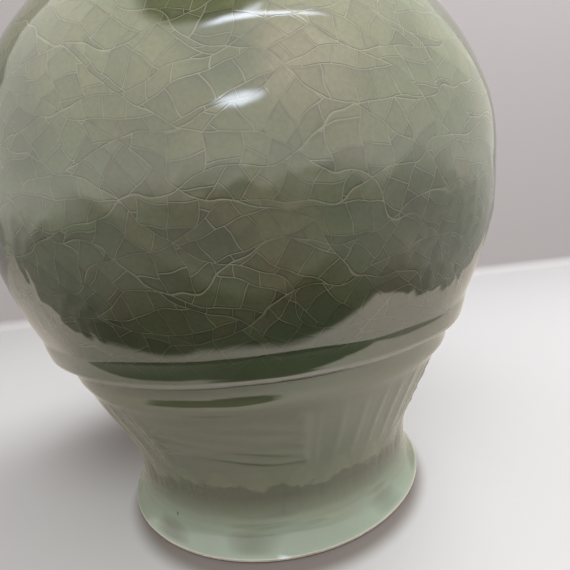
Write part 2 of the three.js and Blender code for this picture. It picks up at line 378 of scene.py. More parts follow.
def rows_of(drawn):
    """Points along drawn strokes, and the outward normal at each."""
    points, travels = [], []
    for stroke, steps in drawn:
        t = np.linspace(0, 1, steps + 1)[:, None]
        s = 1 - t
        bend = s**3, 3 * s**2 * t, 3 * s * t**2, t**3
        points.append(sum(share * point for share, point in zip(bend, stroke)))
        heading = s**2, 2 * s * t, t**2
        travels.append(sum(share * step for share, step in zip(heading, np.diff(stroke, axis=0))))
    return np.concatenate(points), outward(np.concatenate(travels))


def raise_relief(piece, outside, height_at):
    """Moves the outside of a turned piece along its normals.

    Two attributes keep, in mm, the height that a place was moved and its distance along the outline.
    """
    mesh = piece.data
    places = np.empty(len(mesh.vertices) * 3)
    mesh.vertices.foreach_get("co", places)
    places = places.reshape(-1, 3)
    radius = np.hypot(places[:, 0], places[:, 1])
    turned = np.arctan2(places[:, 1], places[:, 0])
    rows, normals = rows_of(outside)
    nearest = np.zeros(len(places), int)
    distance = np.full(len(places), np.inf)
    for i, (row_radius, row_height) in enumerate(rows):
        away = np.hypot(radius - row_radius, places[:, 2] - row_height)
        closer = away < distance
        nearest[closer] = i
        distance[closer] = away[closer]
    along = np.concatenate([[0], np.cumsum(np.linalg.norm(np.diff(rows, axis=0), axis=1))])
    from_ends = np.minimum(along, along[-1] - along)
    ease = np.clip(from_ends / RELIEF_FADE, 0, 1)
    weight = (ease * ease * (3 - 2 * ease))[nearest] * (distance < 2 * WELD)
    height = height_at(turned, places) * weight
    normal = normals[nearest]
    places[:, 0] += height * normal[:, 0] * np.cos(turned)
    places[:, 1] += height * normal[:, 0] * np.sin(turned)
    places[:, 2] += height * normal[:, 1]
    mesh.vertices.foreach_set("co", places.ravel())
    for name, values in (("relief", height), ("along", along[nearest] + rows[0, 1])):
        attribute = mesh.attributes.new(name, "FLOAT", "POINT")
        attribute.data.foreach_set("value", (values / MM).astype(np.float32))
    mesh.update()


# Waves of the uneven wall: their number, their shortest and longest, and the seed of their directions
UNEVEN_WAVES = 14
UNEVEN_LENGTHS = (0.026, 0.060)
UNEVEN_SEED = 7


def unevenness(shape, places):
    """A smooth uneven surface: a sum of waves in directions drawn from a fixed seed."""
    draw = np.random.default_rng(UNEVEN_SEED)
    total = np.zeros(len(places))
    for _ in range(UNEVEN_WAVES):
        direction = draw.normal(size=3)
        direction /= np.linalg.norm(direction)
        wavelength = draw.uniform(*UNEVEN_LENGTHS)
        phase = draw.uniform(0, 2 * math.pi)
        total += np.sin(places @ direction * 2 * math.pi / wavelength + phase)
    return shape.undulation * total * math.sqrt(2 / UNEVEN_WAVES)


def bead(distance, width):
    """The rounded section of a raised line."""
    return np.exp(-(distance / width) ** 2)


# The bead under the rib: how far below the rib, its half width, and how it swells four times round the jar
RING_DROP = 0.0099
RING_WIDTH = 0.0040
RING_SWELLS = 4
RING_SWELL = 0.45
RING_TURN = math.radians(20)
# The fine lines round the flare: their heights and their half width
FOOT_LINES = (0.0112, 0.0150)
FOOT_LINE_WIDTH = 0.0011
# A swag: how far below the rib the first fold hangs, the step to the next, its sag and its waver
SWAG_DROP = 0.0185
SWAG_STEP = 0.0046
SWAG_SAG = 0.006
SWAG_WAVER = 0.0012
# How late in its panel a swag sags, and how often it wavers there
SWAG_CURVE = 1.6
SWAG_WAVES = 8
# Raised and hollow lines of the panels: their height as a share of the ornament's, and their half width
FOLD = (0.6, 0.0016)
FOLD_HOLLOW = (0.3, 0.0015)
FOLD_HOLLOW_DROP = 0.0026
FLUTE = (0.6, 0.0016)
PANEL_RIDGE = (1.3, 0.0026)
# Where the panels end: a height and a drop below the rib, and how far each end fades
PANEL_LOW = 0.038
PANEL_LOW_FADE = 0.008
PANEL_DROP = 0.015
PANEL_TOP_FADE = 0.006
# A leaf: its foot and tip from the waist, how far its foot fades, its half width as a share of the spacing,
# how late it narrows, its face and the slope at its side, its edge, and its midrib and where that ends
LEAF_FOOT = -0.004
LEAF_TIP = 0.020
LEAF_FADE = 0.004
LEAF_HALF = 0.48
LEAF_CURVE = 2.2
LEAF_FACE = 0.5
LEAF_SLOPE = 0.003
LEAF_EDGE = (0.2, 0.0012)
LEAF_EDGE_INSET = 0.001
LEAF_MIDRIB = (0.25, 0.0010)
LEAF_MIDRIB_END = 0.7


def skirt_relief(shape, turned, places):
    """Moulded ornament of the skirt: rings, panels of swags and flutes in turn, and leaves at the foot."""
    height = places[:, 2]
    girth = 2 * math.pi * np.hypot(places[:, 0], places[:, 1])
    rib_low = shape.rib_height - shape.rib_width / 2
    from_front = turned + math.pi / 2
    swell = 1 + RING_SWELL * np.cos(RING_SWELLS * (from_front + RING_TURN))
    rings = shape.skirt_ring * swell * bead(height - rib_low + RING_DROP, RING_WIDTH)
    for line in FOOT_LINES:
        rings = rings + shape.foot_line * bead(height - line, FOOT_LINE_WIDTH)

    # A ridge parts the panels; swags that sag to the right hang in every other one, flutes stand in the rest
    panel = (from_front - shape.panel_turn) * shape.panels / (2 * math.pi)
    share = panel % 1
    swagged = np.floor(panel) % 2 == 1
    width = girth / shape.panels
    swags = np.zeros(len(places))
    for fold in range(shape.folds):
        waver = SWAG_WAVER * np.sin(SWAG_WAVES * share + 2 * fold)
        hang = rib_low - SWAG_DROP - SWAG_STEP * fold - SWAG_SAG * share**SWAG_CURVE - waver
        swags += FOLD[0] * bead(height - hang, FOLD[1])
        swags -= FOLD_HOLLOW[0] * bead(height - hang + FOLD_HOLLOW_DROP, FOLD_HOLLOW[1])
    flutes = FLUTE[0] * bead((share * shape.flutes % 1 - 0.5) * width / shape.flutes, FLUTE[1])
    ridge = PANEL_RIDGE[0] * bead(np.minimum(share, 1 - share) * width, PANEL_RIDGE[1])
    above = np.clip((height - PANEL_LOW) / PANEL_LOW_FADE, 0, 1)
    below = np.clip((rib_low - PANEL_DROP - height) / PANEL_TOP_FADE, 0, 1)
    panels = (np.where(swagged, swags, flutes) + ridge) * above * below

    # Pointed leaves stand on the foot's flare
    low, high = shape.waist_height + LEAF_FOOT, shape.waist_height + LEAF_TIP
    across = (turned * shape.leaves / (2 * math.pi)) % 1 - 0.5
    rise = np.clip((height - low) / (high - low), 0, 1)
    half = LEAF_HALF * np.sqrt(1 - rise**LEAF_CURVE)
    inward = (half - np.abs(across)) * girth / shape.leaves
    within = np.clip((height - low) / LEAF_FADE, 0, 1) * (height < high)
    edge = LEAF_EDGE[0] * bead(inward - LEAF_EDGE_INSET, LEAF_EDGE[1])
    leaf = np.clip(inward / LEAF_SLOPE, 0, 1) * LEAF_FACE + edge
    midrib = LEAF_MIDRIB[0] * bead(across * girth / shape.leaves, LEAF_MIDRIB[1]) * (rise < LEAF_MIDRIB_END)
    return rings + shape.skirt_line * (panels + (leaf + midrib) * within)


# The scroll: the height of its middle, how far the stem sways, and the half widths of stem and petals
SCROLL_MIDDLE = 0.148
SCROLL_SWAY = 0.026
STEM_WIDTH = 0.0030
PETAL_WIDTH = 0.0021
# A flower: how far from the middle it sits, the step from one ring of petals to the next, their lobing, and
# their height, as a share of the line's, with its fall from ring to ring
FLOWER_OFFSET = 0.020
PETAL_STEP = 0.0086
PETAL_LOBING = 0.16
PETAL_HEIGHT = 1.1
PETAL_FALL = 0.15
# Where the scroll ends below and above, and how far each end fades
SCROLL_LOW = 0.104
SCROLL_LOW_FADE = 0.010
SCROLL_TOP = 0.170
SCROLL_TOP_FADE = 0.014


def scroll_relief(shape, turned, places):
    """A foliate scroll round the belly: a waving stem with a lobed flower in the hollow of every wave."""
    height = places[:, 2]
    radius = shape.belly_radius
    phase = turned * shape.scrolls
    slope = SCROLL_SWAY * shape.scrolls / radius * np.cos(phase)
    off_stem = height - SCROLL_MIDDLE - SCROLL_SWAY * np.sin(phase)
    raised = bead(off_stem / np.sqrt(1 + slope**2), STEM_WIDTH)
    for i in range(2 * shape.scrolls):
        side = 1 if i % 2 else -1
        centre_turn = (i + 0.5) * math.pi / shape.scrolls
        across = ((turned - centre_turn + math.pi) % (2 * math.pi) - math.pi) * radius
        away = height - (SCROLL_MIDDLE + side * FLOWER_OFFSET)
        reach, heading = np.hypot(across, away), np.arctan2(away, across)
        for ring in (1, 2, 3):
            lobing = 1 - PETAL_LOBING + PETAL_LOBING * np.cos((3 + 2 * ring) * heading + ring)
            petals = bead(reach - PETAL_STEP * ring * lobing, PETAL_WIDTH)
            raised = np.maximum(raised, petals * (PETAL_HEIGHT - PETAL_FALL * ring))
    above = np.clip((height - SCROLL_LOW) / SCROLL_LOW_FADE, 0, 1)
    below = np.clip((SCROLL_TOP - height) / SCROLL_TOP_FADE, 0, 1)
    return shape.scroll_line * raised * above * below


def add(tree, kind, *values, out=None, **settings):
    """Adds a shader node and returns one of its outputs: the one named by out, or else the first in use.

    The values go in order to the inputs that its settings leave in use. Each is a number, a colour, a vector,
    a socket to link, or None, which leaves the input as it is.
    """
    node = tree.nodes.new("ShaderNode" + kind)
    for name, value in settings.items():
        setattr(node, name, value)
    for socket, value in zip([socket for socket in node.inputs if socket.enabled], values):
        if isinstance(value, bpy.types.NodeSocket):
            tree.links.new(value, socket)
        elif value is not None:
            socket.default_value = value
    return node.outputs[out] if out else next(socket for socket in node.outputs if socket.enabled)


def new_material(name, **sockets):
    """A Principled material whose constant values are set on the shader's own sockets."""
    material = bpy.data.materials.new(name)
    material.use_nodes = True
    tree = material.node_tree
    shader = tree.nodes["Principled BSDF"]
    for socket, value in sockets.items():
        shader.inputs[socket.replace("_", " ")].default_value = value
    return material, tree, shader


def opaque(rgb):
    """A colour with the alpha that a colour socket takes."""
    return (*rgb, 1.0)


def millimetres(tree):
    """A point's place on its piece, in mm."""
    place = add(tree, "TexCoord", out="Object")
    return add(tree, "VectorMath", place, 1 / MM, operation="SCALE")


def tint(tree, body, tone, follows, start, full, most=1.0, **settings):
    """Mixes a tone into a colour: its share grows to most as what it follows goes from start to full."""
    share = add(tree, "MapRange", follows, start, full, 0.0, most, **settings)
    return add(tree, "Mix", share, body, opaque(tone), data_type="RGBA")


# Heading, wander in mm, its wavelength in mm and the spacing in mm of the two sets of long cracks
LONG_CRACKS = (((0.50, 0.87, 0.0), 30.0, 36.0, 17.5), ((-0.22, 0.97, 0.0), 26.0, 31.0, 15.0))
# How far all cracks sway, and over what length, in mm
CRACK_SWAY = (13.0, 13.0, 0.0)
CRACK_SWAY_LENGTH = 26
# How far a first cut turns from level and a second cut from the first one, at least and at most
FIRST_CUT_TURN = (0.0, math.pi)
SECOND_CUT_TURN = (1.15, 1.99)
# What keeps the random numbers of neighbouring strips apart
SEED_STEP = (7.0, 3.0, 1.0)


def crackle(tree, mm, turned, finish):
    """The net of cracks: the distance to the nearest one in mm, three random shares for each flake, and how
    high a place lies on its flake, from about -0.7 to 0.7.

    Long wandering cracks run down to the right and nearly level. Each field between them is cut across by
    shorter ones that stop at the long ones, and each strip between those is cut once more.
    """
    around = add(tree, "Math", turned, GLAZE_BOX[1].y / MM, operation="MULTIPLY")
    along = add(tree, "Attribute", out="Fac", attribute_name="along")
    unrolled = add(tree, "CombineXYZ", around, along)
    sway = add(tree, "TexNoise", mm, 1 / CRACK_SWAY_LENGTH, 2.0, out="Color")
    bent = add(tree, "VectorMath", sway, CRACK_SWAY, unrolled, operation="MULTIPLY_ADD")
    from_long = []
    fields = []
    for heading, wander, wavelength, spacing in LONG_CRACKS:
        noise = add(tree, "TexNoise", mm, 1 / wavelength, 1.0)
        across = add(tree, "VectorMath", bent, heading, operation="DOT_PRODUCT")
        swayed = add(tree, "Math", noise, wander, across, operation="MULTIPLY_ADD")
        from_long.append(add(tree, "Math", swayed, spacing / 2, operation="PINGPONG"))
        share = add(tree, "Math", swayed, spacing, operation="DIVIDE")
        fields.append(add(tree, "Math", share, operation="FLOOR"))
    nearest = add(tree, "Math", from_long[0], from_long[1], operation="MINIMUM")

    # Shorter cracks: the second cut of a field is about square to the first, and starts anew in each strip
    seed = add(tree, "CombineXYZ", fields[0], fields[1])
    chance = add(tree, "TexWhiteNoise", seed, out="Color")
    heading, height = 0.0, 0.0
    for spacing, spread in ((finish.flake / MM, FIRST_CUT_TURN), (finish.fine_flake / MM, SECOND_CUT_TURN)):
        first_share, second_share, _ = add(tree, "SeparateColor", chance).node.outputs
        swing = add(tree, "MapRange", first_share, 0.0, 1.0, *spread)
        heading = add(tree, "Math", heading, swing, operation="ADD")
        level = add(tree, "Math", heading, operation="COSINE")
        upright = add(tree, "Math", heading, operation="SINE")
        way = add(tree, "CombineXYZ", level, upright)
        across = add(tree, "VectorMath", bent, way, operation="DOT_PRODUCT")
        shifted = add(tree, "Math", second_share, spacing, across, operation="MULTIPLY_ADD")
        away = add(tree, "Math", shifted, spacing / 2, operation="PINGPONG")
        nearest = add(tree, "Math", nearest, away, operation="MINIMUM")
        share = add(tree, "Math", shifted, spacing, operation="DIVIDE")
        strip = add(tree, "Math", share, operation="FLOOR")
        within = add(tree, "Math", share, strip, operation="SUBTRACT")
        centred = add(tree, "Math", within, 0.5, operation="SUBTRACT")
        rise = add(tree, "Math", centred, upright, operation="MULTIPLY")
        height = add(tree, "Math", height, rise, operation="ADD")
        number = add(tree, "CombineXYZ", strip, strip, spacing)
        seed = add(tree, "VectorMath", seed, SEED_STEP, number, operation="MULTIPLY_ADD")
        chance = add(tree, "TexWhiteNoise", seed, out="Color")
    return nearest, chance, height


# Sizes of the glaze's patterns, in mm
DRIFT = 62
TOAST = 48
# Size of the raggedness of the painted reflection in the waist
PAINTED_REFLECTION_NOISE = 11
MOTTLE = 1.3
CRACK_FADING = 19
CRACK_STAINING = 33
SPECK_SPACING = 24
SPECK_CORE = 0.432
SPECK_EDGE = 0.96
SKIN_RIPPLE = 8
# Heights on the glaze in mm, from where an effect starts to where it is full
CRAZED = (96, 112)
FOOT_POOL = (27, 9)
RIM_WIPE = (2.1, 1.7)
# Heights of the darkening towards the rib: the glaze's run together with painted shade on the lower belly
RUN_AND_PAINTED_SHADE = (100, 190)
BELOW_RIB = (100, 86)
# Heights of the painted reflection in the waist
WAIST_PAINTED_REFLECTION = (15, 27)
# Heights of the relief in mm, from where the glaze starts to thin or to pool to where it does so most
RIDGE = (0.05, 0.6)
HOLLOW = (-0.02, -0.25)
# The ragged upper edge of the dark band in the waist, a painted reflection of the shade by the foot, in mm:
# from where it starts to where it is full, raggedness included, and how far the raggedness goes
PAINTED_REFLECTION_EDGE = (44.0, 41.5)
PAINTED_REFLECTION_RAGGEDNESS = 22.0
# The pale line along the rib's lower edge, a painted highlight where the glaze runs thin, and the firing crack
# under it, in mm: the height, then how far off it starts and is full
RIB_EDGE_HEIGHT = 91.4
RIB_EDGE_PAINTED_HIGHLIGHT = (1.4, 0.3)
FIRING_CRACK_HEIGHT = 90.3
FIRING_CRACK_GAPE = (0.9, 0.5)
# How far to the right of the front the firing crack lies, and how far it runs to each side, in radians
FIRING_CRACK_TURN = 0.146
FIRING_CRACK_RUN = (0.13, 0.09)
# Patches that fired warmer: the place in mm, its reach in mm, how far it goes, and to which colour
PATCHES = (
    ((17.0, -115.0, 187.0), 22.0, 0.8, "pale"),
    ((-12.0, -119.0, 142.0), 13.0, 0.6, "buff"),
    ((8.0, -114.0, 128.0), 11.0, 0.6, "buff"),
)


def glaze_body(tree, finish, mm, height, warm_share, crazed):
    """The colour of the glaze: drifts from olive to sea green and what fired or ran otherwise, with a painted
    highlight along the rib's lower edge and a painted reflection in the waist.
    """
    drift = add(tree, "TexNoise", mm, 1 / DRIFT, 2.0)
    body = tint(tree, opaque(finish.olive), finish.sea, drift, 0.38, 0.66)

    # Bluer at the foot, where it pooled, and wiped off the rim
    for span, most, tone in ((FOOT_POOL, 0.9, finish.jade), (RIM_WIPE, 0.85, finish.clay)):
        body = tint(tree, body, tone, height, *span, most)

    # Warmer on some flakes and in some drifts, and in a few broad patches
    warm = add(tree, "MapRange", warm_share, 0.70, 1.0, 0.0, 0.35)
    toast = add(tree, "TexNoise", mm, 1 / TOAST, 3.0)
    toasted = add(tree, "MapRange", toast, 0.52, 0.70, 0.0, 0.3)
    buff = add(tree, "Math", warm, toasted, operation="MAXIMUM")
    share = add(tree, "Math", buff, crazed, operation="MULTIPLY")
    body = add(tree, "Mix", share, body, opaque(finish.buff), data_type="RGBA")
    for centre, reach, most, name in PATCHES:
        away = add(tree, "VectorMath", mm, centre, operation="DISTANCE")
        ragged = add(tree, "Math", toast, reach, away, operation="MULTIPLY_ADD")
        start, full = 1.7 * reach, 0.7 * reach
        tone = getattr(finish, name)
        body = tint(tree, body, tone, ragged, start, full, most, interpolation_type="SMOOTHSTEP")

    # Thin and pale on ridges, thick and dark in hollows, and a painted highlight along the rib's lower edge
    relief = add(tree, "Attribute", out="Fac", attribute_name="relief")
    off_edge = add(tree, "Math", height, RIB_EDGE_HEIGHT, operation="SUBTRACT")
    from_edge = add(tree, "Math", off_edge, operation="ABSOLUTE")
    for follows, span, most, tone in (
        (relief, RIDGE, 0.45, finish.thin),
        (relief, HOLLOW, 0.7, finish.pool),
        # A painted highlight in the bare clay's colour
        (from_edge, RIB_EDGE_PAINTED_HIGHLIGHT, 0.7, finish.clay),
    ):
        body = tint(tree, body, tone, follows, *span, most)

    # A dark band round the waist with a ragged upper edge: painted reflection of the shaded table by the foot
    edge_noise = add(tree, "TexNoise", mm, 1 / PAINTED_REFLECTION_NOISE, 3.0)
    ragged_height = add(tree, "Math", edge_noise, PAINTED_REFLECTION_RAGGEDNESS, height, operation="MULTIPLY_ADD")
    over = add(tree, "MapRange", ragged_height, *PAINTED_REFLECTION_EDGE)
    under = add(tree, "MapRange", height, *WAIST_PAINTED_REFLECTION, 0.0, 0.80)
    share = add(tree, "Math", over, under, operation="MULTIPLY")
    return add(tree, "Mix", share, body, opaque(finish.painted_waist_reflection), data_type="RGBA")


def glaze_depth(tree, mm, height, own_share, rise, painted_crack_shade, crazed):
    """How light or dark the glaze is, as a factor: partly for its thickness, partly painted light and shade on
    the belly and on each flake.
    """
    # Darker towards the rib and paler on the shoulder: partly the glaze's run in the kiln, thin above and
    # thick below, and partly painted shade on the lower belly with painted light on the shoulder
    run = add(tree, "MapRange", height, *RUN_AND_PAINTED_SHADE, 0.62, 1.22)
    below = add(tree, "MapRange", height, *BELOW_RIB, 0.0, 0.40)
    run_and_painted_shade = add(tree, "Math", run, below, operation="ADD")

    # Each flake has its own depth of tone, and painted light and shade make it paler towards its lower edge
    # and dark along its upper one
    own = add(tree, "MapRange", own_share, 0.0, 1.0, 0.92, 1.08)
    painted_flake_shading = add(tree, "MapRange", rise, -0.7, 0.7, 1.14, 0.86)
    tone = add(tree, "Math", own, painted_flake_shading, operation="MULTIPLY")
    mottle = add(tree, "TexNoise", mm, 1 / MOTTLE, 4.0)
    fine = add(tree, "MapRange", mottle, 0.3, 0.7, 0.91, 1.09)
    # Painted shade on the upper part of each flake, just under the crack above it
    upper = add(tree, "MapRange", rise, -0.05, 0.2)
    lip = add(tree, "Mix", upper, 1.0, painted_crack_shade)
    mottle_and_painted_shade = add(tree, "Math", fine, lip, operation="MULTIPLY")
    # A flake's own tone and mottle, with its painted light and shade
    flake = add(tree, "Math", tone, mottle_and_painted_shade, operation="MULTIPLY")
    crazing = add(tree, "Mix", crazed, 1.0, flake)
    return add(tree, "Math", crazing, run_and_painted_shade, operation="MULTIPLY")


def celadon_glaze(finish):
    """Celadon, an iron glaze fired glossy on stoneware and crazed as it cooled.

    It gives the eye a grey-green that shifts from olive to sea green, a net of pale grooved cracks with
    painted shade along their edges, warmer flakes here and there, and a clear gloss over it all.
    """
    material, tree, shader = new_material(
        "Celadon glaze, crackled",
        Roughness=0.5,
        Specular_IOR_Level=0.0,
        Coat_Weight=1.0,
        Coat_Roughness=0.06,
        Coat_IOR=2.2,
    )
    mm = millimetres(tree)
    across, back, height = add(tree, "SeparateXYZ", mm).node.outputs
    front = add(tree, "Math", back, -1.0, operation="MULTIPLY")
    turned = add(tree, "Math", across, front, operation="ARCTAN2")
    nearest, chance, rise = crackle(tree, mm, turned, finish)
    _, warm_share, own_share = add(tree, "SeparateColor", chance).node.outputs
    crazed = add(tree, "MapRange", height, *CRAZED, 0.08, 1.0)
    hair = finish.crack_width / MM
    # Painted shade beside each crack, darkest at the crack and gone five hairs away
    painted_crack_shade = add(tree, "MapRange", nearest, hair, 5 * hair, 0.76)
    body = glaze_body(tree, finish, mm, height, warm_share, crazed)
    depth = glaze_depth(tree, mm, height, own_share, rise, painted_crack_shade, crazed)
    body = add(tree, "VectorMath", body, depth, operation="SCALE")

    # Iron specks one to two millimetres across, in about a third of places
    distance, lot, *_ = add(tree, "TexVoronoi", mm, 1 / SPECK_SPACING).node.outputs
    chosen = add(tree, "SeparateColor", lot)
    rare = add(tree, "Math", chosen, 0.68, operation="GREATER_THAN")
    core, edge = SPECK_CORE / SPECK_SPACING, SPECK_EDGE / SPECK_SPACING
    dot = add(tree, "MapRange", distance, core, edge, 0.85, 0.0)
    speck = add(tree, "Math", dot, rare, operation="MULTIPLY")
    body = add(tree, "Mix", speck, body, opaque(finish.speck), data_type="RGBA")

    # A crack is a pale hair, brown where it took a stain, and faint below the rib
    hairline = add(tree, "MapRange", nearest, 0.3 * hair, hair, 1.0, 0.0, interpolation_type="SMOOTHSTEP")
    fading = add(tree, "TexNoise", mm, 1 / CRACK_FADING, 1.0)
    opened = add(tree, "MapRange", fading, 0.3, 0.6, 0.22, 1.0)
    strength = add(tree, "Math", opened, crazed, operation="MULTIPLY")
    crack = add(tree, "Math", hairline, strength, operation="MULTIPLY")
    veil = add(tree, "Math", crack, 0.6, operation="MULTIPLY")
    age = add(tree, "TexNoise", mm, 1 / CRACK_STAINING, 2.0)
    hue = tint(tree, opaque(finish.crack), finish.stain, age, 0.60, 0.68, 0.75)
    body = add(tree, "Mix", veil, body, hue, data_type="RGBA")

    # A firing crack opened along the joint under the rib, right of the front
    gaping = None
    for value, middle, span in (
        (height, FIRING_CRACK_HEIGHT, FIRING_CRACK_GAPE),
        (turned, FIRING_CRACK_TURN, FIRING_CRACK_RUN),
    ):
        off = add(tree, "Math", value, middle, operation="SUBTRACT")
        away = add(tree, "Math", off, operation="ABSOLUTE")
        share = add(tree, "MapRange", away, *span)
        gaping = add(tree, "Math", gaping, share, operation="MULTIPLY") if gaping else share
    body = add(tree, "Mix", gaping, body, opaque(finish.speck), data_type="RGBA")
    tree.links.new(body, shader.inputs["Base Color"])

    # Every crack of the net is a shallow groove too, and the gloss over it is nearly level
    groove = add(tree, "MapRange", nearest, 0.0, 1.8 * hair, interpolation_type="SMOOTHSTEP")
    edges = add(tree, "Bump", strength, 0.26 * MM, None, groove)
    tree.links.new(edges, shader.inputs["Normal"])
    skin = add(tree, "TexNoise", mm, 1 / SKIN_RIPPLE, 1.0)
    swell = add(tree, "Math", groove, 0.07, skin, operation="MULTIPLY_ADD")
    gloss = add(tree, "Bump", 1.0, 0.05 * MM, None, swell)
    tree.links.new(gloss, shader.inputs["Coat Normal"])
    return material


# Sizes of the clay's patterns, in mm: toasted drifts, grit, and how long and how fine the slip's streaks are
CLAY_TOAST = 22
CLAY_GRIT = 0.7
SLIP_STREAK = (12, 0.8)


def stoneware(finish):
    """Stoneware, pressed in a mould and left bare: matt, pale, gritty, toasted a little at random."""
    material, tree, shader = new_material("Stoneware, bare fired", Roughness=0.85, IOR=1.5)
    mm = millimetres(tree)
    toast = add(tree, "TexNoise", mm, 1 / CLAY_TOAST, 4.0)
    body = tint(tree, opaque(finish.clay), finish.clay_warm, toast, 0.48, 0.75, 0.7)
    grit = add(tree, "TexNoise", mm, 1 / CLAY_GRIT, 4.0)
    grain = add(tree, "MapRange", grit, 0.3, 0.7, 0.86, 1.1)
    grained = add(tree, "VectorMath", body, grain, operation="SCALE")
    tree.links.new(grained, shader.inputs["Base Color"])
    rough = add(tree, "Bump", 0.8, 0.12 * MM, None, grit)
    tree.links.new(rough, shader.inputs["Normal"])
    return material


def slip(finish):
    """Slip, wiped into the joints and fired: a fine matt clay with soft streaks round the jar."""
    material, tree, shader = new_material("Slip, fired", Roughness=0.9, IOR=1.5)
    mm = millimetres(tree)
    long, fine = SLIP_STREAK
    drawn = add(tree, "VectorMath", mm, (1 / long, 1 / long, 1 / fine), operation="MULTIPLY")
    streak = add(tree, "TexNoise", drawn, 1.0, 3.0)
    grain = add(tree, "MapRange", streak, 0.0, 1.0, 0.8, 1.15)
    body = add(tree, "VectorMath", tuple(finish.clay_slip), grain, operation="SCALE")
    tree.links.new(body, shader.inputs["Base Color"])
    wiped = add(tree, "Bump", 0.6, 0.15 * MM, None, streak)
    tree.links.new(wiped, shader.inputs["Normal"])
    return material


# The materials made so far, by slot
MATERIALS = {}


def finish_of(slot):
    """The material for one of the record's slots, made once."""
    makers = {"celadon_glaze": celadon_glaze, "stoneware": stoneware, "slip": slip}
    if slot not in MATERIALS:
        MATERIALS[slot] = makers[slot](bpy.context.scene.jar_finish)
    return MATERIALS[slot]


def dress(piece, slot, *nodes):
    """Gives a finished piece its material, its body, and the nodes that it stands for."""
    piece.data.materials.clear()
    piece.data.materials.append(finish_of(slot))
    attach(piece, "root")
    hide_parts(*nodes)


# Steps along each stroke of the outside, on the glaze's face and on its back
SKIRT_STEPS = {"flare": (18, 4), "skirt": (52, 6)}
RIB_STEPS = {"rib_underside": 6, "rib_edge": 10, "rib_face": 10}
RIB_SEAT_STEPS = 2
UPPER_STEPS = {"belly": (44, 5), "shoulder": (76, 7), "fillet": (10, 2)}
LIP_STEPS = {
    "neck": (5, 2),
    "under_lip": (8, 4),
    "roll_low": (8, 4),
    "roll_top": (8, 4),
    "land": (3, 1),
    "mouth_edge": (10, 5),
    "mouth": (4, 1),
}
# Steps along each stroke of the inside, from the neck down to the middle of the base
INSIDE_STEPS = {
    "neck": (3, 1),
    "fillet": (6, 3),
    "shoulder": (30, 8),
    "belly": (22, 6),
    "rib_seat": (4, 1),
    "skirt": (18, 5),
    "turn_up": (6, 3),
    "hearth": (8, 1),
}
# Steps along the clay rib's strokes and along its seat
RIB_CLAY_STEPS = {"rib_underside": 4, "rib_edge": 10, "rib_face": 8}
RIB_CLAY_SEAT_STEPS = 8
# Steps along each straight side of the bare ring's section
FOOT_STEPS = 2


def glaze_piece(name, outside, back, columns, height_at):
    """Turns a skin of glaze, raises its relief and dresses it."""
    piece = turn(name, closed_skin(outside, back), columns)
    raise_relief(piece, outside, height_at)
    dress(piece, "celadon_glaze", "celadon_glaze")


class JAR_OT_skirt_glaze(bpy.types.Operator):
    """Glaze over the flared foot and the skirt, with its moulded ornament"""
    bl_idname = "jar.skirt_glaze"
    bl_label = "Skirt glaze"

    def execute(self, context):
        shape = context.scene.jar_shape
        line = outline(shape)
        run = [line[name] for name in SKIRT_STEPS]
        face_steps, back_steps = zip(*SKIRT_STEPS.values())
        glaze_piece(
            "skirt_glaze",
            list(zip(run, face_steps)),
            list(zip(inset(run, shape.glaze), back_steps)),
            RELIEF_COLUMNS,
            lambda turned, places: skirt_relief(shape, turned, places) + unevenness(shape, places),
        )
        return {"FINISHED"}


class JAR_OT_belly_glaze(bpy.types.Operator):
    """Glaze over the rib, the belly and the shoulder, with a foliate scroll in relief"""
    bl_idname = "jar.belly_glaze"
    bl_label = "Belly glaze"

    def execute(self, context):
        shape = context.scene.jar_shape
        line = outline(shape)
        rib = [line[name] for name in RIB_STEPS]
        upper = [line[name] for name in UPPER_STEPS]
        face_steps, back_steps = zip(*UPPER_STEPS.values())
        back = inset([line["rib_seat"], *upper], shape.glaze)
        glaze_piece(
            "belly_glaze",
            list(zip([*rib, *upper], [*RIB_STEPS.values(), *face_steps])),
            list(zip(back, [RIB_SEAT_STEPS, *back_steps])),
            RELIEF_COLUMNS,
            lambda turned, places: scroll_relief(shape, turned, places) + unevenness(shape, places),
        )
        return {"FINISHED"}


class JAR_OT_mouth_glaze(bpy.types.Operator):
    """Glaze over the neck and the rolled lip, and down inside to the base"""
    bl_idname = "jar.mouth_glaze"
    bl_label = "Mouth glaze"

    def execute(self, context):
        shape = context.scene.jar_shape
        line = outline(shape)
        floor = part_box("base_disc")[1].z + shape.glaze_gap + shape.glaze
        corner = shape.hearth_corner
        names = ("skirt", "rib_seat", "belly", "shoulder", "fillet", "neck")
        inside = inset([line[name] for name in names], shape.wall)
        foot_radius = inside[0][0][0]
        inside[0][0] = (foot_radius, floor + corner)
        inside[0][1] = (foot_radius, floor + 2 * corner)
        hearth = straight((0, floor), (foot_radius - corner, floor))
        turn_up = quadratic(hearth[3], (foot_radius, floor), inside[0][0])
        run = [line[name] for name in LIP_STEPS] + backwards([hearth, turn_up, *inside])
        face_steps, back_steps = zip(*LIP_STEPS.values(), *INSIDE_STEPS.values())
        glaze_piece(
            "mouth_glaze",
            list(zip(run, face_steps)),
            list(zip(inset(run, shape.glaze), back_steps)),
            PLAIN_COLUMNS,
            lambda turned, places: unevenness(shape, places) / 2,
        )
        return {"FINISHED"}


class JAR_OT_rib(bpy.types.Operator):
    """The clay band laid over the joint of skirt and belly, under the glaze"""
    bl_idname = "jar.rib"
    bl_label = "Rib"

    def execute(self, context):
        shape = context.scene.jar_shape
        line = outline(shape)
        run = inset([line[name] for name in RIB_CLAY_STEPS], shape.glaze + shape.glaze_gap)
        seat = straight(run[-1][3], run[0][0])
        drawn = [*zip(run, RIB_CLAY_STEPS.values()), (seat, RIB_CLAY_SEAT_STEPS)]
        piece = turn("rib_clay", drawn, PLAIN_COLUMNS)
        dress(piece, "stoneware", "waist_rib")
        return {"FINISHED"}


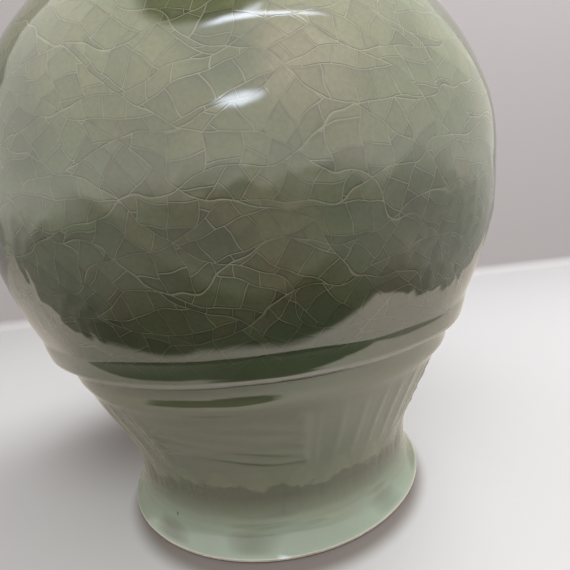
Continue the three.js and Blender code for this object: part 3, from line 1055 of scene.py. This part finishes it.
class JAR_OT_bare_foot(bpy.types.Operator):
    """The bare ring that the jar stands on, with its softened edges and the ledge inside"""
    bl_idname = "jar.bare_foot"
    bl_label = "Bare foot"

    def execute(self, context):
        shape = context.scene.jar_shape
        top = FOOT_BOX[1].z
        rim_top = shape.rim_height - shape.glaze_gap
        # How far the ring's steps stand back under the glaze, and how far its inner edges are softened
        setback = 0.006
        softening = 0.001
        ledge_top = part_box("base_lute")[0].z - shape.glaze_gap
        ledge_low = ledge_top - shape.ledge_depth
        ledge_radius = -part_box("base_lute")[0].y
        inner = shape.foot_bore
        corners = [
            (inner + softening, 0.0),
            (shape.foot_radius - shape.rim_chamfer, 0.0),
            (shape.foot_radius, shape.rim_chamfer),
            (shape.foot_radius, rim_top),
            (shape.foot_radius - setback, rim_top),
            (shape.waist_radius - 2 * softening, ledge_top),
            (shape.waist_radius - setback, top),
            (inner + 3 * softening, top),
            (inner + 2 * softening, ledge_top),
            (ledge_radius, ledge_top),
            (ledge_radius, ledge_low),
            (inner, ledge_low),
            (inner, softening),
        ]
        drawn = [(straight(a, b), FOOT_STEPS) for a, b in zip(corners, [*corners[1:], corners[0]])]
        piece = turn("bare_foot_ring", drawn, PLAIN_COLUMNS)
        dress(piece, "stoneware", "foot_ring")
        return {"FINISHED"}


class JAR_OT_sections(bpy.types.Operator):
    """Bare clay and slip on the sections that the glaze covers"""
    bl_idname = "jar.sections"
    bl_label = "Clay sections"

    def execute(self, context):
        slots = {part["node"]: part["material_slot"] for part in frame["record"]["subparts"]}
        for name, node in frame["nodes"].items():
            node.data.materials.clear()
            node.data.materials.append(finish_of(slots[name]))
        return {"FINISHED"}


# Edges of what the glaze mirrors of the table, its front and its two sides: each line's across and forward
# slope, and its offset in m
TABLE_EDGES = ((0.04, 1.0, 0.156), (0.52, 1.0, 0.190), (-1.44, 1.0, 0.410))
TABLE_EDGE_SOFTNESS = 0.008
# Shade painted on the table under the foot and to its left: its middle, where it ends and where it is full,
# all in m, and how deep it is
SHADES = (((0.0, -0.012, 0.0), 0.0825, 0.073, 0.75), ((-0.085, 0.055, 0.0), 0.085, 0.0, 0.60))
# Heights between which the floor's colour turns into the backdrop's
FLOOR_TO_WALL = (0.002, 0.02)
# How far to each side the glaze mirrors the backdrop
MIRRORED_WALL = 0.6
# How much of its light the floor throws back on the jar
FLOOR_BOUNCE = 0.07


def floor_material(stage):
    """A matt painted table top, pale to the eye, with a painted soft shade by the foot.

    What the glaze mirrors of it is warmer and ends at the table's edges, and it throws little light back on
    the jar.
    """
    material, tree, shader = new_material("Painted table", Roughness=0.6, IOR=1.45)
    place = add(tree, "TexCoord", out="Object")
    sideways, _, height = add(tree, "SeparateXYZ", place).node.outputs
    rays = add(tree, "LightPath").node.outputs
    glossy, camera = rays["Is Glossy Ray"], rays["Is Camera Ray"]
    table = add(tree, "Mix", glossy, opaque(stage.floor), opaque(stage.floor_mirrored), data_type="RGBA")
    upright = add(tree, "MapRange", height, *FLOOR_TO_WALL)
    body = add(tree, "Mix", upright, table, opaque(stage.backdrop), data_type="RGBA")

    # The painted shade is there for the camera alone
    shade = None
    for centre, ends, full, most in SHADES:
        away = add(tree, "VectorMath", place, centre, operation="DISTANCE")
        cast = add(tree, "MapRange", away, ends, full, 0.0, most, interpolation_type="SMOOTHSTEP")
        shade = add(tree, "Math", shade, cast, operation="MAXIMUM") if shade else cast
    seen = add(tree, "Math", shade, camera, operation="MULTIPLY")
    shaded = add(tree, "Mix", seen, body, opaque(stage.shade), data_type="RGBA")
    pale = add(tree, "Math", glossy, camera, operation="MAXIMUM")
    dim = add(tree, "MapRange", pale, 0.0, 1.0, FLOOR_BOUNCE)
    painted = add(tree, "VectorMath", shaded, dim, operation="SCALE")
    tree.links.new(painted, shader.inputs["Base Color"])

    # Past the table's edges the glaze mirrors the room instead
    inside = None
    for across, forward, offset in TABLE_EDGES:
        along = add(tree, "VectorMath", place, (across, forward, 0.0), operation="DOT_PRODUCT")
        within = add(tree, "Math", along, offset, operation="ADD")
        inside = add(tree, "Math", inside, within, operation="MINIMUM") if inside else within
    on_table = add(tree, "MapRange", inside, -TABLE_EDGE_SOFTNESS, 0.0)
    off = add(tree, "Math", sideways, operation="ABSOLUTE")
    near = add(tree, "Math", off, MIRRORED_WALL, operation="LESS_THAN")
    behind = add(tree, "Math", upright, near, operation="MULTIPLY")
    mirrored = add(tree, "Math", on_table, behind, operation="MAXIMUM")
    gone = add(tree, "Math", 1.0, mirrored, operation="SUBTRACT")
    past = add(tree, "Math", gone, glossy, operation="MULTIPLY")
    clear = add(tree, "BsdfTransparent")
    mixed = add(tree, "MixShader", past, shader.outputs[0], clear)
    tree.links.new(mixed, tree.nodes["Material Output"].inputs["Surface"])
    return material


# Bright panes that the glaze mirrors: the way to each, the way it lies, half its length and width, and its
# strength
PANES = (
    ((0.03, -0.385, 0.92), (0.974, 0.225, 0.0), (0.20, 0.055), 5.5),
    ((0.24, -0.335, 0.91), (0.974, 0.225, 0.0), (0.32, 0.028), 4.5),
    ((0.100, -0.310, 0.95), (0.55, 0.83, 0.0), (0.14, 0.055), 4.5),
    ((0.02, -0.830, 0.56), (0.99, 0.0, 0.10), (0.17, 0.075), 4.5),
)
# The way to the room's lighter side, and to the dark place overhead
LIGHT_SIDE = (0.8, 0.6, 0.0)
DARK_OVERHEAD = (-0.06, -0.12, 0.99)
# The room's light low down and high up: from where to where it grows towards the lighter side, and its levels;
# then the heights between which low turns to high
LOW_LIGHT = (-0.2, 0.7, 0.20, 0.62)
HIGH_LIGHT = (-0.7, 0.7, 0.95, 1.2)
LIGHT_RISE = (0.15, 0.70)
# What the glaze mirrors: from where to where each grows with height, -1 to 1, and its levels
GROUND = (-0.70, -0.33, 0.02, 0.26)
WALLS = (-0.20, 0.07, 0.0, 0.66)
CEILING = (0.35, 0.75, 0.0, 0.15)
# The same towards the lighter side, where the ground is paler and the walls are dimmer
SIDE_GROUND = (0.0, 0.8, 1.0, 2.0)
SIDE_WALLS = (0.2, 0.9, 1.0, 0.65)
# How the dark place overhead ends, and the level of what the camera sees past the backdrop
DARK_END = (0.955, 0.972, 1.0, 0.1)
FAR_LEVEL = 0.9


def room_light(tree, height, side):
    """What lights the jar: bright overhead, dim low down, and brighter on the room's lighter side."""
    low, high = (add(tree, "MapRange", side, *levels) for levels in (LOW_LIGHT, HIGH_LIGHT))
    rise = add(tree, "MapRange", height, *LIGHT_RISE, interpolation_type="SMOOTHSTEP")
    return add(tree, "Mix", rise, low, high)


def mirrored_room(tree, height, side):
    """What the glaze mirrors: dark underfoot, a dim floor farther off, pale walls, and a ceiling."""
    ground, walls = (
        add(tree, "MapRange", height, *levels, interpolation_type="SMOOTHSTEP") for levels in (GROUND, WALLS)
    )
    paler, dimmer = (add(tree, "MapRange", side, *levels) for levels in (SIDE_GROUND, SIDE_WALLS))
    side_walls = add(tree, "Math", walls, dimmer, operation="MULTIPLY")
    level = add(tree, "Math", ground, paler, side_walls, operation="MULTIPLY_ADD")
    ceiling = add(tree, "MapRange", height, *CEILING)
    return add(tree, "Math", level, ceiling, operation="ADD")


def bright_panes(tree, way):
    """The level of the soft bright panes along a way."""
    panes = None
    for toward, lie, half, strength in PANES:
        facing = Vector(toward).normalized()
        across = facing.cross(Vector(lie)).normalized()
        turned = Matrix((across.cross(facing), across, facing)).transposed().to_euler()
        inside = add(tree, "Mapping", way, facing, turned, (*half, 0.5), vector_type="TEXTURE")
        away = add(tree, "VectorMath", inside, operation="LENGTH")
        glow = add(tree, "MapRange", away, 1.0, 0.3, 0.0, strength, interpolation_type="SMOOTHSTEP")
        panes = add(tree, "Math", panes, glow, operation="MAXIMUM") if panes else glow
    return panes


def sky(stage):
    """A soft room, with one level for what lights the jar and another for what its glaze mirrors."""
    world = bpy.data.worlds.new("Soft room")
    bpy.context.scene.world = world
    world.use_nodes = True
    tree = world.node_tree
    background = tree.nodes["Background"]
    way = add(tree, "TexCoord", out="Generated")
    *_, height = add(tree, "SeparateXYZ", way).node.outputs
    side = add(tree, "VectorMath", way, LIGHT_SIDE, operation="DOT_PRODUCT")
    rays = add(tree, "LightPath").node.outputs
    glossy, camera = rays["Is Glossy Ray"], rays["Is Camera Ray"]
    panes = bright_panes(tree, way)
    mirrored = add(tree, "Math", mirrored_room(tree, height, side), panes, operation="ADD")
    room = add(tree, "Mix", glossy, room_light(tree, height, side), mirrored)
    overhead = add(tree, "VectorMath", way, DARK_OVERHEAD, operation="DOT_PRODUCT")
    cap = add(tree, "MapRange", overhead, *DARK_END)
    level = add(tree, "Math", room, cap, operation="MULTIPLY")
    shown = add(tree, "Mix", camera, level, FAR_LEVEL)
    tree.links.new(shown, background.inputs["Strength"])
    cold = add(tree, "Math", panes, glossy, operation="MULTIPLY")
    hue = add(tree, "Mix", cold, opaque(stage.room), opaque(stage.pane), data_type="RGBA")
    tree.links.new(hue, background.inputs["Color"])


# Lamps: the name, the place, the point it is aimed at, the side of its square and its power
LAMPS = (
    ("key", (0.6, 0.25, 1.15), (0, 0, 0.1), 0.6, 8.5),
    ("skylight", (0.0, -0.55, 1.10), (0.0, -0.05, 0.2), 0.5, 2.0),
)
# The width of the camera's frame in mm, and how near to it a thing still shows, in m
FRAME_WIDTH = 36
NEAREST = 0.01


def lamp(name, place, target, size, power):
    """A square area lamp aimed at a point, which neither the camera nor the glaze's gloss sees."""
    bpy.ops.object.light_add(type="AREA", location=place)
    light = bpy.context.object
    light.name = name
    light.data.shape = "SQUARE"
    light.data.size = size
    light.data.energy = power
    light.rotation_euler = (Vector(target) - Vector(place)).to_track_quat("-Z", "Y").to_euler()
    light.visible_camera = False
    light.visible_glossy = False


def select_edges(mesh, test):
    """Selects the edges whose two ends pass a test, and nothing else."""
    for face in mesh.polygons:
        face.select = False
    for vertex in mesh.vertices:
        vertex.select = test(vertex.co)
    for edge in mesh.edges:
        edge.select = all(mesh.vertices[v].select for v in edge.vertices)


class JAR_OT_stage(bpy.types.Operator):
    """Floor, backdrop, light and camera"""
    bl_idname = "jar.stage"
    bl_label = "Stage"

    def execute(self, context):
        stage = context.scene.jar_stage
        deselect()
        bpy.ops.mesh.primitive_plane_add(size=stage.floor_size, location=(0, 0, 0))
        floor = context.object
        floor.name = "stage_floor"
        for vertex in floor.data.vertices:
            vertex.co.y = min(vertex.co.y, stage.wall_distance)
        select_edges(floor.data, lambda place: place.y > 0)
        bpy.ops.object.mode_set(mode="EDIT")
        bpy.ops.mesh.select_mode(type="EDGE")
        bpy.ops.mesh.extrude_region_move(TRANSFORM_OT_translate={"value": (0, 0, stage.wall_height)})
        bpy.ops.object.mode_set(mode="OBJECT")
        select_edges(floor.data, lambda place: place.y > 0 and abs(place.z) < WELD)
        bpy.ops.object.mode_set(mode="EDIT")
        bpy.ops.mesh.bevel(offset=stage.wall_bevel, segments=8, affect="EDGES")
        bpy.ops.object.mode_set(mode="OBJECT")
        bpy.ops.object.shade_smooth_by_angle(angle=SMOOTH_ANGLE)
        floor.data.materials.append(floor_material(stage))
        sky(stage)
        for described in LAMPS:
            lamp(*described)

        bpy.ops.object.camera_add()
        camera = context.object
        camera.data.sensor_width = FRAME_WIDTH
        camera.data.lens = stage.lens
        camera.data.clip_start = NEAREST
        turned = (
            Matrix.Rotation(-stage.camera_yaw, 4, "Z")
            @ Matrix.Rotation(math.pi / 2 - stage.camera_pitch, 4, "X")
            @ Matrix.Rotation(stage.camera_roll, 4, "Z")
        )
        camera.matrix_world = Matrix.Translation((0, -stage.camera_distance, stage.camera_height)) @ turned
        context.scene.camera = camera
        context.scene.view_settings.view_transform = "Standard"
        return {"FINISHED"}


class JAR_PT_panel(bpy.types.Panel):
    """The jar's pieces, its sizes and its colours"""
    bl_idname = "JAR_PT_panel"
    bl_label = "Moulded jar"
    bl_space_type = "VIEW_3D"
    bl_region_type = "UI"
    bl_category = "Jar"

    def draw(self, context):
        for group in (context.scene.jar_shape, context.scene.jar_finish, context.scene.jar_stage):
            box = self.layout.box()
            for name in group.__annotations__:
                box.prop(group, name)
        for operator in OPERATORS:
            self.layout.operator(operator.bl_idname)


OPERATORS = (
    JAR_OT_sections,
    JAR_OT_skirt_glaze,
    JAR_OT_belly_glaze,
    JAR_OT_mouth_glaze,
    JAR_OT_rib,
    JAR_OT_bare_foot,
    JAR_OT_stage,
)
CLASSES = (JarShape, JarFinish, JarStage, *OPERATORS, JAR_PT_panel)


def register():
    for cls in CLASSES:
        bpy.utils.register_class(cls)
    bpy.types.Scene.jar_shape = PointerProperty(type=JarShape)
    bpy.types.Scene.jar_finish = PointerProperty(type=JarFinish)
    bpy.types.Scene.jar_stage = PointerProperty(type=JarStage)


def unregister():
    del bpy.types.Scene.jar_stage
    del bpy.types.Scene.jar_finish
    del bpy.types.Scene.jar_shape
    for cls in reversed(CLASSES):
        bpy.utils.unregister_class(cls)


def main():
    register()
    bpy.ops.jar.sections()
    bpy.ops.jar.skirt_glaze()
    bpy.ops.jar.belly_glaze()
    bpy.ops.jar.mouth_glaze()
    bpy.ops.jar.rib()
    bpy.ops.jar.bare_foot()
    bpy.ops.jar.stage()


if __name__ == "__main__":
    main()
